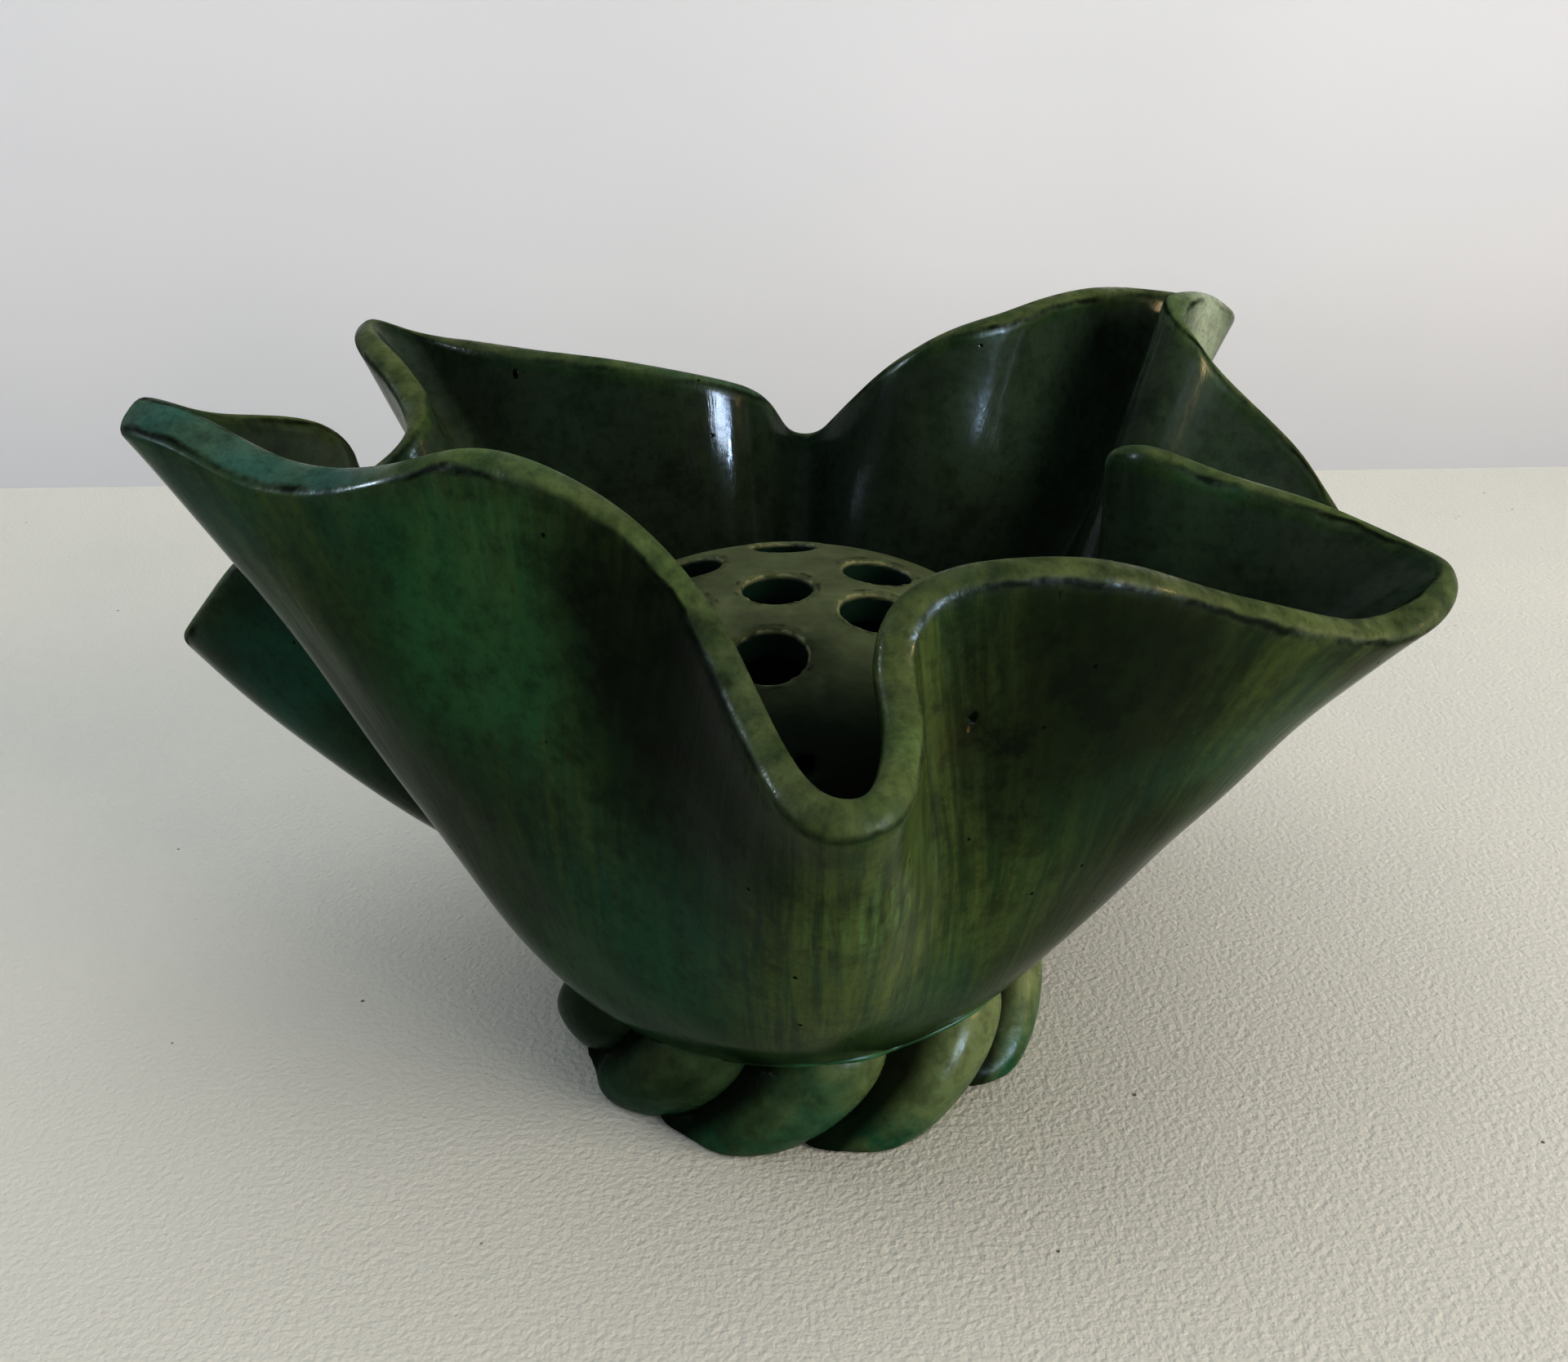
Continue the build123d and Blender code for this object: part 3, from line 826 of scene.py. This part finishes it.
def bowl_glaze(context):
    """Satin copper-green glaze on stoneware: cloudy green and teal that ran down in streaks, thin
    and olive over the lip, with a broken dark line along each edge of it and a few pinholes."""
    shades = context.scene.glaze_colours
    glaze = Glaze("satin_green_glaze", "from_crown", "ridge", "up_sheet", *GLAZE_RUNS)
    glaze.add("flow", "Attribute", {"attribute_name": "flow"}, out="Vector")
    glaze.add("down", "VectorMath", {"operation": "MULTIPLY", 0: "flow", 1: (1.0, 1.0, 0.07)})
    glaze.add("drift", "TexNoise", {"noise_dimensions": "4D", "Vector": "place", "Apart": 55,
                                    "Detail": 3.0, "Distortion": 0.8, "W": 3.7})
    glaze.add("cells", "TexVoronoi", {"Vector": "place", "Apart": 11})
    glaze.add_rows("TexNoise", NOISE, [
        # Clouds about as wide as a thumb, where the glaze was laid on unevenly.
        ("cloud", "place", 38, 4.0, 0.55, 0.4),
        # Streaks 2 to 4 mm apart that ran down about 30 mm, and finer ones between.
        ("streak", "down", 2.2, 5.0, 0.68, 0.3), ("fine_streak", "down", 0.9, 3.0),
        # What the edges of the lip's band wander by, and where its dark lines are broken.
        ("stray", "place", 6, 3.0), ("chance", "place", 17, 5.0, 0.7),
        # Smoky mottling 7 mm apart with finer smoke in it, and a fine dark grain.
        ("mottle", "place", 7, 8.0, 0.72), ("speckle", "place", 1.8, 6.0, 0.7),
        # Orange peel of the glaze, drawn 2.5 mm apart so that it shows, and grit on the lip.
        ("peel", "place", 2.5, 2.0), ("grit", "place", 0.9, 2.0)])
    glaze.add_rows("MapRange", RANGE, [
        ("teal_drift", "drift", 0.5, 0.72, 0, 0.75), ("on_ridge", "ridge", 15, 120, 0, 0.45),
        ("streaky", "streak", 0.40, 0.60, 0.25, 0.9),
        ("trickle", "fine_streak", 0.42, 0.68, 0, 0.8),
        ("inside", "up_sheet", 0.995, 1.015, 0, 0.75),
        ("wander", "stray", 0.3, 0.7, -0.5 * MM, 0.5 * MM), ("thin", "stray", 0.36, 0.64, 0.2, 0.8),
        ("broken", "chance", 0.42, 0.60, 0, 0.9), ("smoke", "mottle", 0.46, 0.68, 0, 0.5),
        ("grain", "speckle", 0.50, 0.70, 0, 0.4), ("satin", "mottle", 0.3, 0.7, 0.12, 0.21),
        ("dry", "chance", 0.40, 0.54, 0.06, 0.38),
        # Pinholes up to a millimetre wide, one every 40 mm or so.
        ("pinhole", "cells", 0.042, 0.022)])
    glaze.add_rows("Math", MATH, [
        ("off_crown", "ABSOLUTE", "from_crown"), ("edge", "ADD", "off_crown", "wander"),
        ("off_line", "SUBTRACT", "edge", 3.3 * MM), ("from_line", "ABSOLUTE", "off_line"),
        ("chip_edge", "MULTIPLY", "chip", "mottle"), ("pit_edge", "MULTIPLY", "pit", "mottle")])
    # The lip: a band where the glaze is thin, and a dark line along each of its edges.
    glaze.add_rows("MapRange", RANGE, [
        ("on_lip", "edge", 3.6 * MM, 2.6 * MM), ("line", "from_line", 0.9 * MM, 0.2 * MM),
        ("near_lip", "edge", 5.5 * MM, 3.5 * MM), ("bare_chip", "chip_edge", 0.30, 0.42),
        ("bare_pit", "pit_edge", 0.22, 0.30)])
    glaze.add("on_wall", "MapRange", {"Value": "on_lip", "To Min": 1.0, "To Max": 0.2})
    glaze.add_rows("Math", MATH, [
        ("teal_share", "ADD", "teal_drift", "teal", 0, True),
        ("thinned", "ADD", "olive", "on_ridge", 0, True), ("faint", "ADD", "thinned", 0.10),
        ("olive_share", "MULTIPLY", "faint", "streaky", 0, True),
        ("pale_share", "MULTIPLY", "pale", "trickle", 0, True),
        ("rust_share", "MULTIPLY", "brown", "streaky"), ("band", "MULTIPLY", "on_lip", "thin"),
        # teal_band_and_highlight is blue-green glaze on the lip and also a painted highlight in the
        # dip by the left tip.
        ("pale_band", "MULTIPLY", "pale", "band"), ("teal_band_and_highlight", "MULTIPLY", "teal", "on_lip"),
        # dark_run lays the dark runs, which on the outer front are partly painted shade.
        ("broken_line", "MULTIPLY", "line", "broken"), ("dark_run", "MULTIPLY", "dark", "on_wall"),
        ("dark_share", "MULTIPLY_ADD", "dark_run", 0.7, "smoke", True),
        ("smoke_share", "MULTIPLY", "dark_run", 0.3),
        ("rough", "MULTIPLY_ADD", "dry", "near_lip", "satin"),
        # How high the glaze stands: its streaks, orange peel and grit, less holes and chips.
        ("waves", "MULTIPLY", "peel", 0.25), ("drips", "MULTIPLY_ADD", "streak", 1.0, "waves"),
        ("lip_grit", "MULTIPLY", "grit", "near_lip"),
        ("gritty", "MULTIPLY_ADD", "lip_grit", 0.5, "drips"),
        ("holed", "MULTIPLY_ADD", "pinhole", -0.5, "gritty"),
        ("chipped", "MULTIPLY_ADD", "bare_chip", -1.5, "holed"),
        ("height", "MULTIPLY_ADD", "bare_pit", -0.8, "chipped"),
        # The broken edge is dry, without gloss, and so is the clay in a chip or a hole.
        ("dry_edge", "MULTIPLY_ADD", "near_lip", "broken", "pinhole"),
        ("bare", "ADD", "bare_chip", "bare_pit"), ("dull", "ADD", "dry_edge", "bare")])
    glaze.add("gloss", "MapRange", {"Value": "dull", "To Min": 0.08, "To Max": 0.01})
    glaze.add("body", "ValToRGB", {"Fac": "cloud"}, [(0.36, shades.deep), (0.62, shades.green)])
    return glaze.finish("body", [
        ("teal_share", shades.teal), ("bright", shades.bright), ("olive_share", shades.olive),
        ("pale_share", shades.pale), ("rust_share", shades.rust), ("inside", shades.inner),
        ("band", shades.band), ("pale_band", shades.pale), ("teal_band_and_highlight", shades.lip_teal),
        ("milky", shades.milky), ("broken_line", shades.dark), ("dark_share", shades.deep),
        ("smoke_share", shades.dark), ("grain", shades.deep), ("pinhole", shades.dark),
        ("bare_chip", shades.brown), ("bare_pit", shades.dark)],
        "rough", "height", 0.12 * MM, "gloss")


def foot_glaze(context):
    """The same satin green glaze on the foot: olive where it is thin on the ridges, pooled green
    low down and smoky all over, with painted shade in the creases, in the hollow beside each lobe
    and on the left side, painted light on the right side, and a few pinholes."""
    shades = context.scene.glaze_colours
    glaze = Glaze("satin_green_foot_glaze", "ridge", "hollow")
    for axis in "XZ":
        glaze.add(axis, "SeparateXYZ", {0: "place"}, out=axis)
    glaze.add("cells", "TexVoronoi", {"Vector": "place", "Apart": 8})
    glaze.add_rows("TexNoise", NOISE, [
        ("cloud", "place", 14, 4.0, 0.5, 0.5), ("patch", "place", 7, 5.0),
        ("wisp", "place", 4, 7.0, 0.7), ("peel", "place", 2.2, 2.0)])
    glaze.add_rows("MapRange", RANGE, [
        ("thin", "ridge", 20, 120, 0, 0.6), ("patchy", "patch", 0.42, 0.62, 0.15),
        # Painted light on the right, where the light falls, and painted shade on the left.
        ("right", "X", 2 * MM, 34 * MM, 0, 0.6), ("left", "X", -6 * MM, -36 * MM, 0, 0.75),
        ("low", "Z", 13 * MM, 3 * MM), ("smoke", "wisp", 0.44, 0.70, 0, 0.5),
        # Painted shade in the creases between the lobes and in the hollow beside each lobe.
        ("crease_shade", "ridge", -20, -160, 0, 0.9), ("hollow_shade", "hollow", 0.22, 0.50, 0, 0.85),
        ("pinhole", "cells", 0.06, 0.03), ("rough", "patch", 0.3, 0.7, 0.20, 0.32),
        ("gloss", "hollow", 0, 0.3, 0.038, 0.01)])
    glaze.add_rows("Math", MATH, [
        ("olive", "MULTIPLY", "thin", "patchy"), ("pool", "MULTIPLY", "low", "patchy"),
        ("height", "MULTIPLY_ADD", "pinhole", -1.0, "peel")])
    glaze.add("body", "ValToRGB", {"Fac": "cloud"}, [
        (0.30, shades.green), (0.48, hex_linear("#42563b")), (0.70, hex_linear("#2a5242"))])
    return glaze.finish("body", [
        # The right and left layers are painted light and painted shade.
        ("olive", shades.band), ("right", hex_linear("#78825f")), ("left", hex_linear("#10201a")),
        ("pool", hex_linear("#27513c")), ("smoke", shades.deep), ("crease_shade", shades.dark),
        ("hollow_shade", shades.dark), ("pinhole", shades.dark)], "rough", "height", 0.12 * MM, "gloss")


def bead_glaze(context):
    """Pale green glaze that ran down and froze in the joint, glossier than the foot."""
    shades = context.scene.glaze_colours
    glaze = Glaze("pooled_green_glaze")
    glaze.add("X", "SeparateXYZ", {0: "place"})
    glaze.add("cloud", "TexNoise", {"Vector": "place", "Apart": 9, "Detail": 4.0})
    # Palest at the front right, where the most of it ran.
    glaze.add_rows("MapRange", RANGE, [
        ("left", "X", 4 * MM, -12 * MM), ("rough", "cloud", 0.3, 0.7, 0.2, 0.35)])
    glaze.add("body", "ValToRGB", {"Fac": "cloud"}, [(0.35, shades.green),
                                                     (0.6, hex_linear("#3d6146"))])
    return glaze.finish("body", [("left", shades.deep)], "rough", "cloud", 0.15 * MM, 0.05)


def frog_glaze(context):
    """Matt grey-olive glaze, dry to look at, worn to pale tan along the rims of the holes and
    smoother and deep teal inside them, where it lies thick. Over the front and the bottom of the
    dome, where the bowl shades it, deep green is painted shade."""
    shades = context.scene.glaze_colours
    glaze = Glaze("matt_olive_glaze", "from_hole", "outside")
    for axis in "YZ":
        glaze.add(axis, "SeparateXYZ", {0: "place"}, out=axis)
    glaze.add_rows("TexNoise", NOISE, [
        ("cloud", "place", 16, 5.0, 0.6), ("fine", "place", 2.4, 4.0)])
    glaze.add("wander", "MapRange", {"Value": "fine", "From Min": 0.3, "From Max": 0.7,
                                     "To Min": -0.4 * MM, "To Max": 0.4 * MM})
    # Painted shade: deep green towards the front and the bottom, where the bowl shades the dome, with
    # a cloudy edge.
    # A thin, broken dark line lies round each hole, just outside its worn rim.
    glaze.add_rows("Math", MATH, [
        ("front_shade_height", "MULTIPLY_ADD", "Y", 0.6, "Z"), ("clouded_shade_height", "MULTIPLY_ADD", "cloud", 0.03, "front_shade_height"),
        ("near", "ADD", "from_hole", "wander"), ("off_line", "SUBTRACT", "near", 1.3 * MM),
        ("from_line", "ABSOLUTE", "off_line")])
    glaze.add_rows("MapRange", RANGE, [
        # thick is the share of that painted shade.
        ("thick", "clouded_shade_height", 99 * MM, 68 * MM, 0, 0.88),
        ("line", "from_line", 0.5 * MM, 0.1 * MM), ("broken", "fine", 0.48, 0.62, 0, 0.7),
        ("rim", "near", 0.4 * MM, 0.1 * MM, 0, 0.7), ("rough", "outside", 0, 1, 0.35, 0.62)])
    glaze.add_rows("Math", MATH, [("broken_line", "MULTIPLY", "line", "broken"),
                                  ("worn", "MULTIPLY", "rim", "outside")])
    glaze.add("olive", "ValToRGB", {"Fac": "cloud"}, [(0.36, hex_linear("#3f4630")),
                                                      (0.66, shades.frog)])
    # The painted shade is laid over the dry olive here.
    glaze.add("dry", "Mix", {"data_type": "RGBA", 0: "thick", 6: "olive",
                             7: hex_linear("#16221a")}, out=2)
    return glaze.finish(hex_linear("#1c332a"), [
        ("outside", "dry"), ("broken_line", shades.dark), ("worn", shades.tan)],
        "rough", "fine", 0.12 * MM, 0.08)


# ---- the studio

def board_paint(context):
    """Off-white emulsion rolled on a board: a fine orange peel and a little grime."""
    paint = Glaze("rolled_white_emulsion")
    paint.add_rows("TexNoise", NOISE, [("cloud", "place", 120, 3.0), ("peel", "place", 1.25, 2.5)])
    paint.add("body", "ValToRGB", {"Fac": "cloud"}, [(0.3, hex_linear("#c9cac5")),
                                                     (0.7, context.scene.studio.board)])
    # A speck of dirt up to a millimetre wide every 50 mm or so.
    paint.add("cells", "TexVoronoi", {"Vector": "place", "Apart": 14})
    paint.add_rows("MapRange", RANGE, [("speck", "cells", 0.034, 0.022, 0, 0.85)])
    return paint.finish("body", [("speck", hex_linear("#5d5548"))], 0.75, "peel", 0.4 * MM, 0.08)


def wall_paint(context):
    """Flat white wall paint, faintly uneven."""
    paint = Glaze("flat_wall_paint")
    paint.add("cloud", "TexNoise", {"Vector": "place", "Apart": 400, "Detail": 2.0})
    paint.add("body", "ValToRGB", {"Fac": "cloud"}, [(0.3, hex_linear("#d7d9dc")),
                                                     (0.7, context.scene.studio.wall)])
    return paint.finish("body", [], 0.7, "cloud", 0.1 * MM, 0.3)


def area_light(name, place, aim, size, power, shade, hidden_from):
    """A soft rectangular light, pointed at a place, and hidden from one kind of ray."""
    start_piece()
    bpy.ops.object.light_add(type="AREA", location=place)
    light = bpy.context.object
    light.name = name
    light.data.shape = "RECTANGLE"
    light.data.size, light.data.size_y = size
    light.data.energy = power
    light.data.color = hex_linear(shade)[:3]
    light.rotation_mode = "QUATERNION"
    light.rotation_quaternion = (Vector(aim) - Vector(place)).to_track_quat("-Z", "Y")
    if hidden_from:
        setattr(light, "visible_" + hidden_from, False)


class ADD_OT_studio(bpy.types.Operator):
    """Set the board, the wall, the soft lights and the camera"""
    bl_idname = "flower_frog.add_studio"
    bl_label = "Studio"

    def execute(self, context):
        studio, scene = context.scene.studio, context.scene
        start_piece()
        width, front, thick = 3.0, 1.4, 0.018
        bpy.ops.mesh.primitive_cube_add(size=1, location=(
            0, (studio.board_depth - front) / 2, -thick / 2), rotation=(0, 0, studio.board_turn),
            scale=(width, front + studio.board_depth, thick))
        board = name_piece("board")
        use_modifier(board, "BEVEL", width=1.5 * MM, segments=3)
        board.data.materials.append(board_paint(context))
        start_piece()
        bpy.ops.mesh.primitive_plane_add(size=6, location=(0, 1.1, 0.6),
                                         rotation=(math.radians(90), 0, 0))
        wall = name_piece("wall")
        wall.data.materials.append(wall_paint(context))
        for light in LIGHTS:
            area_light(*light)
        scene.world = scene.world or bpy.data.worlds.new("room")
        scene.world.use_nodes = True
        room = scene.world.node_tree.nodes["Background"].inputs
        room["Color"].default_value = hex_linear("#eef1f3")
        room["Strength"].default_value = 0.45

        bpy.ops.object.camera_add(location=(0, -studio.camera_back, studio.camera_height))
        camera = bpy.context.object
        camera.name = "camera"
        camera.data.sensor_width = 36
        camera.data.lens = 36.06
        camera.data.clip_start = 10 * MM
        camera.rotation_euler = (Matrix.Rotation(math.radians(90) - studio.pitch, 3, "X")
                                 @ Matrix.Rotation(-studio.roll, 3, "Z")).to_euler()
        scene.camera = camera
        scene.view_settings.view_transform = "Standard"
        scene.view_settings.look = "High Contrast"
        return {"FINISHED"}


# ---- the add-on

GROUPS = {"bowl_sizes": BowlSizes, "frog_sizes": FrogSizes, "foot_sizes": FootSizes,
          "glaze_colours": GlazeColours, "studio": StudioSettings}
OPERATORS = (ADD_OT_ruffled_bowl, ADD_OT_foot_lobes, ADD_OT_glaze_bead, ADD_OT_flower_frog,
             ADD_OT_studio)


class VIEW3D_PT_flower_frog(bpy.types.Panel):
    """Lists the pieces of the bowl and its frog"""
    bl_label = "Flower frog"
    bl_idname = "VIEW3D_PT_flower_frog"
    bl_space_type = "VIEW_3D"
    bl_region_type = "UI"
    bl_category = "Flower frog"

    def draw(self, context):
        for operator in OPERATORS:
            self.layout.operator(operator.bl_idname)
        for group in GROUPS:
            box = self.layout.box()
            box.label(text=group.replace("_", " ").capitalize())
            for name in GROUPS[group].__annotations__:
                box.prop(getattr(context.scene, group), name)


def register():
    for group in GROUPS.values():
        bpy.utils.register_class(group)
    for operator in OPERATORS:
        bpy.utils.register_class(operator)
    bpy.utils.register_class(VIEW3D_PT_flower_frog)
    for name, group in GROUPS.items():
        setattr(bpy.types.Scene, name, bpy.props.PointerProperty(type=group))


def unregister():
    for name in GROUPS:
        delattr(bpy.types.Scene, name)
    bpy.utils.unregister_class(VIEW3D_PT_flower_frog)
    for kind in list(OPERATORS) + list(GROUPS.values()):
        bpy.utils.unregister_class(kind)


def main():
    """Models every piece in order."""
    register()
    bpy.ops.flower_frog.add_bowl()
    bpy.ops.flower_frog.add_foot()
    bpy.ops.flower_frog.add_bead()
    bpy.ops.flower_frog.add_frog()
    bpy.ops.flower_frog.add_studio()


if __name__ == "__main__":
    main()
